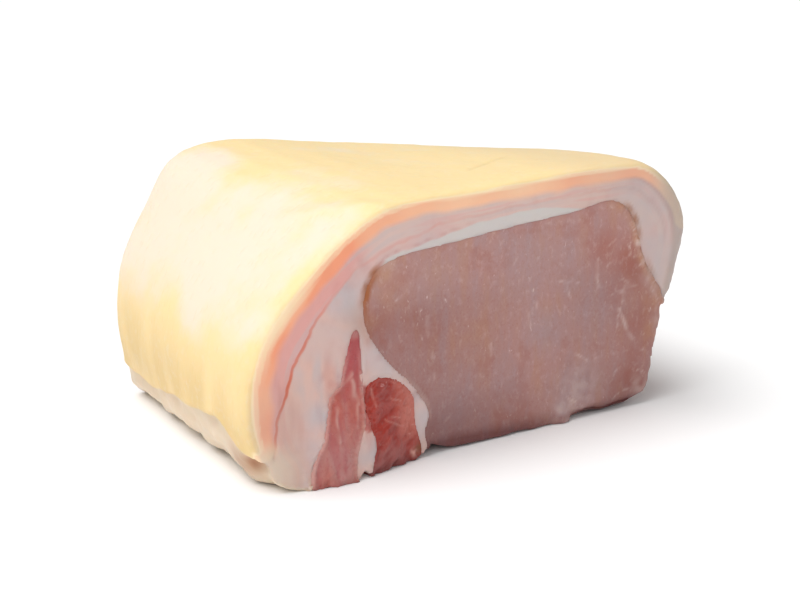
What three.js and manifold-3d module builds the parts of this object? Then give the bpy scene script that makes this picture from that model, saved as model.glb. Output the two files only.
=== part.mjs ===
// A boneless pork loin joint with the rind on, resting on its lean underside.
// Millimetres, +Z up. The near cut end faces -Y, the flank is at -X and the chine side at +X.
// The origin is on the surface that the joint rests on, under the middle of its box.
// The fat with its rind and each muscle are pieces that run the whole length of the joint.
import * as THREE from "three";
import { mergeVertices } from "three/addons/utils/BufferGeometryUtils.js";
import Module from "manifold-3d";

// Driving dimensions of the joint
const WIDTH = 168; // across the near cut end, from flank to chine
const HEIGHT = 87; // of the near cut end, from the base to the rind
const LENGTH = 107; // between the two cut ends

// How the joint changes from the near end to the far end
const FAR_DROP = 2.7; // the back is lower by this much at the middle
const FAR_TILT = 16; // and drops by this much more from the middle to the chine
const TILT_EASE = 1.5; // power of the share along, so that the drop starts gently
const SHOULDER_FILL = 11.5; // the shoulder over the flank is fuller by this much
const SHOULDER_AT = [-0.55, 0.92]; // where the shoulder is, in shares of the section
const SHOULDER_REACH = 25; // how far round the shoulder the filling spreads
const FAR_TUCK = 4; // the sides are further in by this much

// How the soft outside swells behind the cut edges
const EDGE_SWELL = 3; // outwards by this much, on the rind
const SWELL_LIFT = 0.5; // and upwards by this share of it
const EDGE_ROUND = 9; // over this length behind each cut
const MID_SWELL = 0.8; // and by this much more half way along
const SWELL_FROM = 0.4; // share of the height from which the chine side swells; the flank does from its foot
const SWELL_SPAN = 0.25; // share of the height over which the swelling sets in
const FOOT_SPREAD = 5; // the flank's foot spreads outwards by this much
const FOOT_AT = [-0.8, 0.02]; // where it spreads most, in shares of the section
const FOOT_REACH = 16; // how far round the foot the spread reaches
const FOOT_ROUND = 26; // over this length behind the near cut
const FLANK_SLUMP = 7; // the flank's lean slumps this far past the near cut
const SLUMP_AT = [-0.66, 0]; // where it slumps most, in shares of the section
const SLUMP_REACH = 21; // how far the slump spreads

// Mesh steps
const SKIN_STEPS = 4; // along the outside, between two points of its outline
const MUSCLE_STEPS = 3; // the same along a muscle's outline
const EDGE_RINGS = [0, 0.06, 0.25, 0.55]; // rings behind a cut edge, as shares of its rounding
const BODY_SPANS = 8; // between the two rounded edges
const MUSCLE_SPANS = 8; // from end to end of one muscle
const END_RINGS = 4; // from the edge of a cut end to its middle
const END_CENTRE = [-0.06, 0.46]; // where the rings of a cut end shrink to
const OVERRUN = 0.12; // share of the length by which a muscle's cutter passes each end
const GAP = 0.3; // clear space between neighbouring pieces

// Outlines of the near cut end, clockwise, in shares of the half width and of the height
const SKIN = [
  [-0.78, 0], // foot of the flank
  [-0.93, 0.065],
  [-1, 0.28], // widest part of the flank
  [-0.96, 0.53],
  [-0.75, 0.77],
  [-0.45, 0.96], // shoulder over the flank
  [0, 0.985],
  [0.57, 1], // top of the back
  [0.8, 0.975],
  [0.972, 0.81],
  [1.004, 0.68], // chine side
  [0.966, 0.49], // lip of the fat
  [0.95, 0.445],
  [0.914, 0.412], // step below the lip
  [0.908, 0.32],
  [0.868, 0.2],
  [0.855, 0.08],
  [0.77, 0], // foot of the chine side
  [0.24, 0],
  [-0.16, 0.01],
  [-0.244, 0.04], // groove beside the eye
  [-0.32, 0],
  [-0.53, 0],
  [-0.565, 0.03], // groove beside the flank's lean
  [-0.61, 0],
];
const EYE = [
  [-0.256, -0.14], // below the base
  [-0.256, 0.02],
  [-0.27, 0.1],
  [-0.25, 0.17],
  [-0.31, 0.275],
  [-0.44, 0.41],
  [-0.53, 0.56],
  [-0.525, 0.68],
  [-0.46, 0.765],
  [-0.12, 0.808],
  [0.24, 0.836],
  [0.45, 0.849],
  [0.57, 0.868],
  [0.66, 0.86],
  [0.74, 0.79],
  [0.79, 0.65],
  [0.85, 0.54],
  [0.905, 0.47],
  [0.935, 0.41],
  [1.2, 0.33], // past the chine side
  [1.2, -0.14],
];
const SIDE_MUSCLE = [
  [-0.55, -0.14], // below the base
  [-0.545, 0.02],
  [-0.512, 0.09],
  [-0.528, 0.16],
  [-0.535, 0.22],
  [-0.535, 0.31],
  [-0.5, 0.346],
  [-0.44, 0.342],
  [-0.38, 0.312],
  [-0.33, 0.25],
  [-0.325, 0.17],
  [-0.305, 0.08],
  [-0.284, 0.02],
  [-0.284, -0.14],
];
const FLANK_LEAN = [
  [-0.805, -0.14], // below the base
  [-0.795, 0.02],
  [-0.765, 0.11],
  [-0.735, 0.165],
  [-0.703, 0.265],
  [-0.688, 0.318],
  [-0.643, 0.352],
  [-0.622, 0.42],
  [-0.574, 0.545],
  [-0.556, 0.43],
  [-0.554, 0.31],
  [-0.556, 0.2],
  [-0.578, 0.16],
  [-0.6, 0.12],
  [-0.615, 0.03],
  [-0.617, -0.14],
];

const HALF_WIDTH = WIDTH / 2;
const HALF_LENGTH = LENGTH / 2;
const BASE_TOLERANCE = 1e-3; // a point this close to the base lies on it

const wasm = await Module();
wasm.setup();

const inMillimetres = ([u, v]) => new THREE.Vector2(u * HALF_WIDTH, v * HEIGHT);
const bell = (distance, reach) => Math.exp(-((distance / reach) ** 2));

// A smooth closed outline through the given points of the section
function smoothOutline(points, steps) {
  const corners = points.map(inMillimetres).map((p) => new THREE.Vector3(p.x, p.y, 0));
  const curve = new THREE.CatmullRomCurve3(corners, true, "centripetal");
  const samples = curve.getPoints(corners.length * steps);
  samples.pop(); // the last sample repeats the first
  return samples.map((p) => new THREE.Vector2(p.x, p.y));
}

// The outline moved out by a distance, or in where the distance is negative
function offsetOutline(outline, distance) {
  return outline.map((point, i) => {
    const before = outline.at(i - 1);
    const after = outline[(i + 1) % outline.length];
    const along = after.clone().sub(before).normalize();
    return new THREE.Vector2(point.x - along.y * distance, point.y + along.x * distance);
  });
}

// How far the outside has swelled behind a cut, from 0 at the cut to 1 past its rounding
function rounding(distance, length) {
  const left = 1 - THREE.MathUtils.clamp(distance / length, 0, 1);
  return Math.sqrt(1 - left * left);
}

// Where a point of the near section lies, a share t of the way along the joint
function place(point, t) {
  const u = point.x / HALF_WIDTH;
  const v = Math.max(point.y / HEIGHT, 0);
  const along = THREE.MathUtils.clamp(t, 0, 1);
  const near = (spot, reach) => bell(point.distanceTo(inMillimetres(spot)), reach);

  const fromCut = LENGTH * Math.min(along, 1 - along);
  const swellFrom = SWELL_FROM * (u + 1) / 2;
  const soft = THREE.MathUtils.smoothstep(v, swellFrom, swellFrom + SWELL_SPAN);
  const swell = soft * (EDGE_SWELL * rounding(fromCut, EDGE_ROUND) + MID_SWELL * Math.sin(Math.PI * along));
  const foot = FOOT_SPREAD * near(FOOT_AT, FOOT_REACH) * rounding(LENGTH * along, FOOT_ROUND);
  const fill = SHOULDER_FILL * near(SHOULDER_AT, SHOULDER_REACH) * along;
  const drop = (FAR_DROP + FAR_TILT * u) * along ** TILT_EASE;
  const nearCut = -HALF_LENGTH - FLANK_SLUMP * near(SLUMP_AT, SLUMP_REACH);

  return new THREE.Vector3(
    point.x + u * (swell - FAR_TUCK * along) - foot - fill,
    THREE.MathUtils.lerp(nearCut, HALF_LENGTH, t),
    point.y + v * (SWELL_LIFT * swell - drop),
  );
}

// A solid from its points and faces
function solidOf(points, faces) {
  const raw = new THREE.BufferGeometry().setFromPoints(points);
  raw.setIndex(faces.flat());
  const merged = mergeVertices(raw);
  const mesh = new wasm.Mesh({
    numProp: 3,
    vertProperties: merged.attributes.position.array,
    triVerts: new Uint32Array(merged.index.array),
  });
  return new wasm.Manifold(mesh);
}

// Faces round a tube of rings, each with the same count of points and further along than the one before
function tubeFaces(ringCount, count) {
  const faces = [];
  for (let k = 0; k + 1 < ringCount; k++) {
    for (let i = 0; i < count; i++) {
      const here = k * count + i;
      const next = k * count + ((i + 1) % count);
      faces.push([here, next + count, here + count], [here, next, next + count]);
    }
  }
  return faces;
}

// A tube of rings, closed by a point at each end
function pointedTube(rings, firstTip, lastTip) {
  const count = rings[0].length;
  const points = [...rings.flat(), firstTip, lastTip];
  const first = points.length - 2;
  const last = points.length - 1;
  const lastRing = first - count;
  const faces = tubeFaces(rings.length, count);
  for (let i = 0; i < count; i++) {
    const next = (i + 1) % count;
    faces.push([first, next, i], [last, lastRing + i, lastRing + next]);
  }
  return solidOf(points, faces);
}

// A tube of rings, closed by the flat outline that the rings were made from
function cappedTube(rings, outline) {
  const count = outline.length;
  const lastRing = (rings.length - 1) * count;
  const faces = tubeFaces(rings.length, count);
  for (const [a, b, c] of THREE.ShapeUtils.triangulateShape(outline, [])) {
    faces.push([a, b, c], [lastRing + a, lastRing + c, lastRing + b]);
  }
  return solidOf(rings.flat(), faces);
}

// Shares of the length at which the whole joint has a ring, closer together behind the cut edges
function bodyStations() {
  const edge = EDGE_ROUND / LENGTH;
  const stations = EDGE_RINGS.map((share) => share * edge);
  for (let k = 0; k <= BODY_SPANS; k++) {
    stations.push(THREE.MathUtils.lerp(edge, 1 - edge, k / BODY_SPANS));
  }
  stations.push(...EDGE_RINGS.map((share) => 1 - share * edge).reverse());
  return stations;
}

// Shares of the length at which a muscle's cutter has a ring, the first and last ones past the cut ends
function muscleStations() {
  const stations = [-OVERRUN];
  for (let k = 0; k <= MUSCLE_SPANS; k++) {
    stations.push(k / MUSCLE_SPANS);
  }
  stations.push(1 + OVERRUN);
  return stations;
}

// The whole joint: rings along its length, and at each end rings that shrink to a point
function wholeJoint() {
  const outline = smoothOutline(SKIN, SKIN_STEPS);
  for (const point of outline) {
    point.y = point.y < BASE_TOLERANCE ? 0 : point.y;
  }
  const centre = inMillimetres(END_CENTRE);
  const rings = bodyStations().map((t) => outline.map((p) => place(p, t)));
  for (let k = 1; k < END_RINGS; k++) {
    const shrunk = outline.map((p) => p.clone().lerp(centre, k / END_RINGS));
    rings.unshift(shrunk.map((p) => place(p, 0)));
    rings.push(shrunk.map((p) => place(p, 1)));
  }
  return pointedTube(rings, place(centre, 0), place(centre, 1));
}

// A muscle's cutter: its outline swept along the joint, and past both of its ends
function cutter(points, distance) {
  const outline = offsetOutline(smoothOutline(points, MUSCLE_STEPS), distance);
  const rings = muscleStations().map((t) => outline.map((p) => place(p, t)));
  return cappedTube(rings, outline);
}

// A named mesh of a solid
function piece(name, solid, color, roughness) {
  const { numProp, numVert, vertProperties, triVerts } = solid.getMesh();
  const positions = new Float32Array(numVert * 3);
  for (let i = 0; i < numVert; i++) {
    positions.set(vertProperties.subarray(i * numProp, i * numProp + 3), i * 3);
  }
  const geometry = new THREE.BufferGeometry();
  geometry.setAttribute("position", new THREE.BufferAttribute(positions, 3));
  geometry.setIndex(new THREE.BufferAttribute(triVerts, 1));
  geometry.computeVertexNormals();
  const material = new THREE.MeshStandardMaterial({ color, roughness, metalness: 0 });
  const mesh = new THREE.Mesh(geometry, material);
  mesh.name = name;
  return mesh;
}

const joint = wholeJoint();
const muscles = [
  { name: "loin_eye", outline: EYE, color: 0xa87e79, roughness: 0.5 },
  { name: "side_muscle", outline: SIDE_MUSCLE, color: 0x9c463e, roughness: 0.4 },
  { name: "flank_lean", outline: FLANK_LEAN, color: 0xa9625b, roughness: 0.4 },
];

const loin = new THREE.Group();
let fat = joint;
for (const { name, outline, color, roughness } of muscles) {
  fat = fat.subtract(cutter(outline, GAP / 2));
  loin.add(piece(name, joint.intersect(cutter(outline, -GAP / 2)), color, roughness));
}
loin.add(piece("fat_cap", fat, 0xf7e2b6, 0.45));

// The origin goes under the middle of the joint's box
const box = new THREE.Box3().setFromObject(loin);
const middle = box.getCenter(new THREE.Vector3());
for (const mesh of loin.children) {
  mesh.position.set(-middle.x, -middle.y, -box.min.z);
}

export default loin;
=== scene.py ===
from functools import partial

import bmesh
import bpy
import numpy as np
from bpy.props import FloatProperty, FloatVectorProperty, PointerProperty
from bpy.types import NodeSocket, Operator, Panel, PropertyGroup
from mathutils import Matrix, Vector, noise
from mathutils.bvhtree import BVHTree


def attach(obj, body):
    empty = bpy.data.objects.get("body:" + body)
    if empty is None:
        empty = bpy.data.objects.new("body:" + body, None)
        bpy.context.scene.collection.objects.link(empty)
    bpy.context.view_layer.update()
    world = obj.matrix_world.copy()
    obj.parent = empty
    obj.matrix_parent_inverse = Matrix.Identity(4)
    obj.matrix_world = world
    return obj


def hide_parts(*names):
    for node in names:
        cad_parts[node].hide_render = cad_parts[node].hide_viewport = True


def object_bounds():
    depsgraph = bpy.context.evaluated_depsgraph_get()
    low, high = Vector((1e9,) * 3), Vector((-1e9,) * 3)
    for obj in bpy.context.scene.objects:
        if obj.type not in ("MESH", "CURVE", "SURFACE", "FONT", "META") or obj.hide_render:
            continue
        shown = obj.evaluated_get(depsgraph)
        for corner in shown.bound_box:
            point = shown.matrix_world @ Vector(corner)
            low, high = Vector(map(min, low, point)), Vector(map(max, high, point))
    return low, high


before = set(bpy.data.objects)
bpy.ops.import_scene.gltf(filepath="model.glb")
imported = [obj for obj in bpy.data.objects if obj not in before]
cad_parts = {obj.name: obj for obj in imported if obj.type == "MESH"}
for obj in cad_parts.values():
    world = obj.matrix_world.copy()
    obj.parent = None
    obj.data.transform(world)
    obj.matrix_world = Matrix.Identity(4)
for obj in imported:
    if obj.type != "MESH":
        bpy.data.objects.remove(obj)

bl_info = {
    "name": "Rind-on pork loin",
    "version": (1, 0, 0),
    "blender": (4, 5, 0),
    "location": "3D View > Sidebar > Pork loin",
    "description": "Gives a raw pork loin its rind, fat and lean, and sets up a studio stage for it",
    "category": "Object",
}

CAD_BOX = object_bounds()
MM = 0.001

# The joint's near cut end and how the joint changes along its length, in millimetres.
# A place in the section is x from the middle of the cut end and z up from the base.
LENGTH = 107
HEIGHT = 87
HALF_WIDTH = 84
FAR_DROP = 2.7
FAR_TILT = 16
TILT_EASE = 1.5
SECTION_MIDDLE = -0.08
FAR_CUT = CAD_BOX[1][1] / MM
NEAR_CUT = FAR_CUT - LENGTH
# The back is what lies above this height, and loose fat hangs out on the flank's side of this x
BACK_FROM = 60
LOOSE_FAT_TO = -62

# The rind's lower edge on the flank: high near the near cut and low far along, with a dip at the cut
# and waves of a height and a length. The skin that depths are measured from runs on below it.
RIND_FOOT_NEAR = 18.5
RIND_FOOT_FAR = 12
RIND_FOOT_SLOPE = (-28, 42)
RIND_FOOT_DIP = 7.5
RIND_FOOT_DIP_RUN = 22
RIND_FOOT_WAVES = ((0.7, 6), (0.4, 2.7))
RIND_RUNS_ON = 5

# Faces of the fat that aren't rind: turned this far to a cut end or down, or this close to lean
CUT_NORMAL = 0.9
DOWN_NORMAL = -0.6
LEAN_CONTACT = 2.5
LEANS = ("loin_eye", "side_muscle", "flank_lean")

# Doubles closer than this are joined, and passes of smoothing take the facets away
DOUBLES = 0.01
FAT_SMOOTHING = 6
LEAN_SMOOTHING = 4

# The fat and the eye stand this proud, and a wall this close to the next piece moves out to meet it
PROUD = 0.1
WALL_GAP = (2.2, 0.8)
WALL_MOVE = 0.8

# The pink seam in the back fat, from the flank's foot over the shoulder to the back
SEAM_LINE = (
    (-78.4, 12), (-76.9, 22), (-70.2, 39), (-62.3, 52), (-57.5, 58), (-48, 66.5), (-39, 71), (-17, 77),
    (20, 79.5), (52, 80),
)
# The low flap at the eye's foot on the near cut: where it ends, and how far the foot steps up past it
FLAP_END = 37
FLAP_STEP = 1.8
# Tan fat between the flank muscle's tip and the eye
TAN_LINE = ((-46.2, 50), (-43.2, 44.5))
# The thin skin between the two small muscles
MEMBRANE_LINE = ((-45.8, 15.5), (-45.7, 28))
# Soft ridge of the rind along the shoulder, and a scratch on the back: x and y of both ends
RIDGE_LINE = ((-36, -50), (-60, -18))
RIDGE_HEIGHT = 0.9
RIDGE_SPREAD = 3.5
SCRATCH_LINE = ((8.7, -29.2), (31.4, -17))
SCRATCH_DEPTH = 0.25
SCRATCH_SPREAD = 0.8

# The hide unrolled: it bends round a line this high, and its layers count down to this depth
HIDE_CENTRE = 20
HIDE_RADIUS = 75
HIDE_DEPTH = 11

# Round marks on the cut end: x, z, radius in millimetres and strength
WHITE_FAT_MARKS = (
    (-51, 60, 9, 1), (-48, 46, 4, 0.8), (-36, 38, 9, 1), (-24, 24, 6, 1), (-22, 13, 6, 1),
    (-46, 8, 5, 1), (-62, 22, 6, 0.9), (-63, 11, 7, 0.9), (-22, 74, 8, 0.5), (-36, 68, 5, 0.6),
    (-48, 63, 6, 1),
)
# Brown marks on the cut fat. The four by the eye's upper left rim draw its groove: partly orange-brown
# tissue, partly painted shade. The rest, by the chine, are brown stains.
BROWN_FAT_MARKS = (
    (-46.5, 68, 3, 0.3), (-41.5, 65, 3, 0.9), (-43.3, 60, 3.5, 1), (-44.8, 56, 2.5, 0.7),
    (60.5, 72, 3, 0.8), (63.5, 68, 3, 0.9), (65, 63, 2.5, 0.7), (69.5, 47, 2.5, 0.6), (72.5, 50, 4, 0.5),
)
ROSY_FAT_MARKS = (
    (-58, 33, 3, 0.6), (-54, 32, 2.5, 0.9), (-72, 12, 6, 0.3), (-41, 44, 4, 0.4), (-38, 37, 3, 0.3),
    (-46, 68, 3, 0.35),
)
# Painted shade on the cut fat: round marks where the fat is greyed beside the groove at the eye
PAINTED_SHADE_MARKS = ((-48, 52, 5, 0.5),)
EYE_RED_MARKS = (
    (62, 54, 9, 0.9), (50, 60, 7, 0.8), (55, 44, 5, 0.4), (67, 30, 8, 0.6), (64, 12, 6, 0.6),
    (-40, 48, 6, 0.6),
)
EYE_GREY_MARKS = (
    (41, 12, 9, 0.9), (26, 35, 8, 0.8), (-12, 14, 15, 0.5), (18, 58, 14, 0.5), (38, 50, 7, 0.5),
    (34, 6, 4, 0.9), (47, 40, 11, 0.6), (60, 36, 6, 0.4), (10, 18, 7, 0.6), (-18, 58, 12, 0.4),
    (36, 56, 13, 0.4),
)
EYE_WARM_MARKS = (
    (-38, 64, 5, 0.7), (-37, 57, 7, 0.4), (-44, 50, 4, 0.6), (-20, 62, 8, 0.15), (-3, 38, 8, 0.5),
    (72, 38, 5, 0.8), (73, 27, 4, 0.7),
)
EYE_PALE_MARKS = (
    (69, 5, 4, 0.7), (74, 42, 3, 0.5), (70, 47, 3, 0.4), (75, 30, 2.5, 0.25), (67, 9, 3, 0.4),
    (41, 11, 9, 0.3), (36, 4, 5, 0.5), (-36, 67, 4, 0.3), (34, 3, 4, 0.8),
)
SIDE_PALE_MARKS = ((-27.6, 2.8, 1.5, 1),)
SIDE_BROWN_MARKS = ((-25.2, 3.8, 2, 0.8),)
# Rosy arcs in the fat of the chine shoulder: strength, depth under the skin and spread
CHINE_ARCS = ((0.4, 3.4, 0.9), (0.2, 7.5, 0.7))

# Thin lines of fat in the lean: two ends and a half width, below zero for a line that only just shows
EYE_THREADS = (
    ((47.5, 56), (48, 46), 0.1), ((58, 37), (63.5, 25), 0.4), ((74, 38), (75.5, 24), 0.1),
    ((36, 9), (45, 2), 0.3), ((-22, 47), (-21, 41), 0.1), ((66, 52), (75, 45), 0.2),
    ((-19.6, 35.2), (-19.2, 32.8), 0.2), ((-18.8, 27.6), (-18.4, 25.8), 0.1),
    ((-16, 17.5), (-15.6, 16), 0.2), ((-14.7, 10), (-13.2, 11.4), 0.1), ((19.4, 41.9), (19.1, 37.1), 0.1),
    ((22.2, 44.9), (22.7, 43.1), 0.1), ((3.6, 34.2), (4.1, 30), 0.1), ((34.1, 50.6), (36.5, 44.3), 0.0),
    ((31.6, 51.3), (40.2, 49), 0.0), ((39.4, 24), (43.8, 21), 0.2), ((-33.3, 54.8), (-31.5, 55.4), 0.1),
)
SIDE_THREADS = (
    ((-36.2, 23.5), (-32.8, 21.6), -0.2), ((-38.6, 17), (-36, 14.6), -0.2),
    ((-36.5, 17), (-33.6, 16.2), -0.2), ((-35.6, 14.4), (-32.4, 13.4), -0.1),
    ((-43.6, 28), (-42.6, 22), -0.1),
)
FLANK_THREADS = (
    ((-56.8, 14), (-56.6, 27), 0.2), ((-49.4, 12), (-51.5, 3), 0.4), ((-50.5, 32), (-48, 24), 0.5),
    ((-54, 31), (-50, 34), 0.3), ((-48.6, 24), (-49.4, 17), 0.3),
)
THREAD_HEIGHT = 0.2

# Layers of noise: height and lump size in millimetres, seed, and a stretch along x, y and z
SEAM_WANDER = ((0.6, 8, 8), (0.5, 2.5, 19))
RIND_SWELLS = ((0.4, 30, 1), (0.15, 7, 2))
CHINE_FAT_SWELLS = ((0.8, 8, 52, (1, 2, 1)), (0.3, 3, 53))
CUT_FAT_SWELLS = ((0.3, 11, 3), (0.15, 3, 4))
LOOSE_FAT_LOBES = ((1.3, 9, 5), (0.5, 4, 6))
EYE_SWELLS = ((0.35, 16, 21), (0.15, 5, 28))
EYE_STREAKS = ((0.1, 3, 22, (1, 1, 3)),)
EYE_CHINE_LUMPS = ((1.2, 10, 23), (0.6, 4, 24))
EYE_FOOT_LUMPS = ((0.8, 8, 25),)
SIDE_SWELLS = ((0.9, 6, 31),)
SIDE_FOOT_LUMPS = ((1.2, 4, 49),)
FLANK_SWELLS = ((0.4, 7, 34, (1, 1, 2)),)
FLANK_STRANDS = ((0.15, 1.2, 35, (1, 2, 3)),)
FLANK_FOOT_LUMPS = ((1.0, 4, 50),)
# A ragged foot is cut back by this much
FOOT_CUT_BACK = 0.3

# The side muscle's bundles lie at a slant: its x and z are turned about y
SIDE_TURN = np.array(((0.8, 0, 0.6), (0, 1, 0), (-0.6, 0, 0.8)))

# Sizes of the patterns in the materials, in millimetres. Muscle fibres are less than 0.1 mm wide, too fine
# to show, so the grain is drawn as coarse as bundles of them. Pores sit in groups of three, and each group
# is drawn as one dimple. The paper's tooth is drawn about ten times as coarse as it is.
CLOUD = 9
FAT_MOTTLE = 2.4
FAT_BAND = (30, 40, 2.4)
RIND_PATCH = 24
FLECK = 1.0
FLECK_CLUSTER = 4
PAPER_TOOTH = 2
RELIEF_DEPTH = 0.3
PAPER_DEPTH = 0.1

# The stage, in metres: the floor, what the lights aim at, where they stand and how wide they are, and
# the camera, with its sensor in millimetres
FLOOR_HALF = 40.0
FLOOR_DROP = 0.1 * MM
LIGHT_AIM = Vector((0, 0, 0.04))
KEY_PLACE = (-0.36, 0.12, 0.92)
FRONT_PLACE = (-0.3, -0.45, 0.32)
FRONT_WIDTH = 0.3
GLINT_PLACE = (0.75, -0.9, 0.6)
GLINT_WIDTH = 0.06
CAMERA_PLACE = (-0.30508, -0.47582, 0.2047)
CAMERA_DIRECTION = Vector((0.5177, 0.8068, -0.2845))
SENSOR_WIDTH = 36


# Colours and settings


def linear(code):
    """The linear colour of an sRGB hex value, with full alpha."""
    shares = [int(code[place:place + 2], 16) / 255 for place in (1, 3, 5)]
    straight = [share / 12.92 if share <= 0.04045 else ((share + 0.055) / 1.055) ** 2.4 for share in shares]
    return (*straight, 1.0)


def colour(name, code, description):
    """A colour that the user can change, whose default is an sRGB hex value."""
    return FloatVectorProperty(
        name=name, description=description, default=linear(code), subtype="COLOR", size=4, min=0, max=1
    )


def number(name, default, description, **kind):
    """A number that the user can change, with its subtype and unit where they fit."""
    return FloatProperty(name=name, description=description, default=default, min=0, **kind)


def length(name, millimetres, description):
    """A length that the user can change, with its default in millimetres."""
    return number(name, millimetres * MM, description, subtype="DISTANCE", unit="LENGTH")


class FatSettings(PropertyGroup):
    """Sizes and colours of the rind and the back fat."""

    face_size: length("Face size", 1.03, "Edge of the even faces")
    flank_rind: length("Rind on the flank", 4.8, "Thickness of the cut rind on the flank")
    back_rind: length("Rind on the back", 4.2, "Thickness of the cut rind on the back")
    chine_rind: length("Rind on the chine", 2.2, "Thickness of the cut rind on the chine side")
    pore_spacing: length("Pore spacing", 1.7, "Distance between the pores of the rind")
    cream: colour("Cream rind", "#EFE0CA", "Rind on the shoulder, dry and pale")
    yellow: colour("Yellow rind", "#F8DCA4", "Rind on the back")
    tan: colour("Tan rind", "#E6C78C", "Rind low on the flank")
    # Pale cut rind is the pale outer band of the cut rind; it is also laid on the rounded cut edge as
    # painted light, where that edge turns away from the key light
    pale_rind: colour("Pale cut rind", "#FDE4BE", "Outer side of the cut rind")
    cut_rind: colour("Cut rind", "#F5A17D", "Inner side of the cut rind")
    outer_fat: colour("Outer fat", "#DFA59E", "Flank fat between the rind and the seam")
    back_fat: colour("Back fat", "#D9BCB3", "Back fat between the rind and the lean")
    inner_fat: colour("Inner fat", "#DEB7AA", "Flank fat between the seam and the lean")
    white_fat: colour("White fat", "#C7B8B8", "Firm fat against the lean")
    band: colour("White band", "#D0C8C4", "Band of white fat over the eye")
    seam: colour("Seam", "#DA6A4A", "Red seam between the two layers of fat")
    blood: colour("Stain", "#B25A54", "Fat stained by the lean beside it")
    strip: colour("Loose fat", "#E3CFB6", "Loose fat that hangs out below the rind")
    # The brown stain also darkens the groove beside the eye's upper left rim, partly as painted shade
    tip: colour("Brown stain", "#9E5E34", "Orange-brown stains on the loose fat and beside the eye")
    # Painted shade: a grey-beige laid over fat and rind towards the chine side and low on the flank's
    # rounded cut edge, where less light falls
    dull: colour("Dull fat", "#B3A29A", "Greyer fat and rind on the chine side")


class EyeSettings(PropertyGroup):
    """Sizes and colours of the eye muscle."""

    face_size: length("Face size", 0.8, "Edge of the even faces")
    bundle: length("Grain", 1.3, "Width of the bundles of fibres")
    lean: colour("Lean", "#B48983", "Pale lean of the eye")
    deep: colour("Deep lean", "#A76A5E", "Redder lean towards the chine and the rim")
    warm: colour("Warm lean", "#BA8970", "Orange-brown streaks in the lean")
    grey: colour("Grey lean", "#AB8F90", "Lilac-grey patches in the lean")
    # The brown edge is partly the groove's orange-brown colour and partly painted shade of the groove
    brown: colour("Brown edge", "#A45E2E", "Orange-brown groove at the upper left rim")
    pale: colour("Flecks", "#DEC8C0", "Flecks and threads of fat")


class SideSettings(PropertyGroup):
    """Sizes and colours of the dark side muscle."""

    face_size: length("Face size", 0.45, "Edge of the even faces")
    bundle: length("Grain", 2.0, "Width of the bundles of fibres")
    lean: colour("Lean", "#A6382C", "Dark red lean of the side muscle")
    # Deep lean is also laid in the hollows of the wrinkles as painted shade
    deep: colour("Deep lean", "#8A251C", "Darkest lean between the bundles")
    warm: colour("Warm lean", "#BF6B5D", "Lighter coral lean towards the eye")
    grey: colour("Grey lean", "#985652", "Duller lean at the foot")
    brown: colour("Brown edge", "#84502E", "Dry brown edge beside the eye")
    pale: colour("Flecks", "#D8A598", "Tissue between the bundles")


class FlankSettings(PropertyGroup):
    """Sizes and colours of the red flank muscle."""

    face_size: length("Face size", 0.45, "Edge of the even faces")
    bundle: length("Grain", 2.0, "Width of the bundles of fibres")
    lean: colour("Lean", "#B65D53", "Red-pink lean of the flank")
    # Deep lean is also laid in the hollows between the bundles as painted shade, besides the redder tip
    deep: colour("Deep lean", "#AC4A4E", "Redder lean in the narrow tip")
    warm: colour("Warm lean", "#BE6F60", "Orange streaks in the lean")
    grey: colour("Light lean", "#B58783", "Paler lean at the foot and at the very tip")
    brown: colour("Brown edge", "#BE7E5E", "Orange edge beside the side muscle")
    pale: colour("Threads", "#DDB9AE", "Threads of fat in the lean")


class StageSettings(PropertyGroup):
    """The floor, the light and the camera."""

    floor: colour("Floor", "#FCFCFC", "Matte studio paper")
    sky: number("Sky", 0.32, "Strength of the even light all round")
    key: number("Key light", 2.55, "Strength of the soft light over the flank")
    key_spread: number("Key spread", 0.9, "How wide the key light is", subtype="ANGLE", unit="ROTATION")
    front: number("Front light", 0.55, "Soft light from the left on the near cut end", unit="POWER")
    glint: number("Glint light", 1.0, "Small light that shines on damp lean", unit="POWER")
    lens: number("Lens", 75.8, "Focal length", subtype="DISTANCE_CAMERA", unit="CAMERA")


# Measuring the joint


def ease(value, start, end):
    """0 at the start, 1 at the end and an S-curve between them."""
    share = np.clip((value - start) / (end - start), 0, 1)
    return share * share * (3 - 2 * share)


def bell(value, spread):
    """1 at zero, fading over the spread."""
    return np.exp(-((value / spread) ** 2))


def in_section(places):
    """The x and z of each place in the near section, its far drop undone, in millimetres."""
    along = np.clip((places[:, 1] / MM - NEAR_CUT) / LENGTH, 0, 1)
    x = places[:, 0] / MM - SECTION_MIDDLE
    drop = (FAR_DROP + FAR_TILT * x / HALF_WIDTH) * along**TILT_EASE
    return x, places[:, 2] / MM / (1 - drop / HEIGHT)


def gap_to(tree, places):
    """Millimetres from each place to the nearest face of a tree."""
    return np.array([tree.find_nearest(place)[3] for place in places.tolist()]) / MM


def lumps(places, size, seed, stretch=(1, 1, 1)):
    """Smooth noise about zero at each place, its lumps of a size in millimetres times the stretch."""
    points = places / (np.array(stretch) * size * MM) + np.array((17.3, -9.1, 5.7)) * seed
    return np.array([noise.noise(point) for point in points.tolist()])


def grooves(places, size, stretch):
    """0 at the borders of noisy cells, rising to about 1 in their middles."""
    points = places / (np.array(stretch) * size * MM)
    cells = [noise.voronoi(point)[0] for point in points.tolist()]
    return np.array([nearest[1] - nearest[0] for nearest in cells])


def segment_gap(x, z, start, end):
    """Signed distance from places on a plane to a segment: negative on its left."""
    run = np.array(end, dtype=float) - start
    from_start = np.stack([x - start[0], z - start[1]], axis=1)
    share = np.clip(from_start @ run / (run @ run), 0, 1)
    off = from_start - share[:, None] * run
    side = np.where(run[0] * from_start[:, 1] - run[1] * from_start[:, 0] > 0, -1, 1)
    return side * np.hypot(off[:, 0], off[:, 1])


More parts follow.
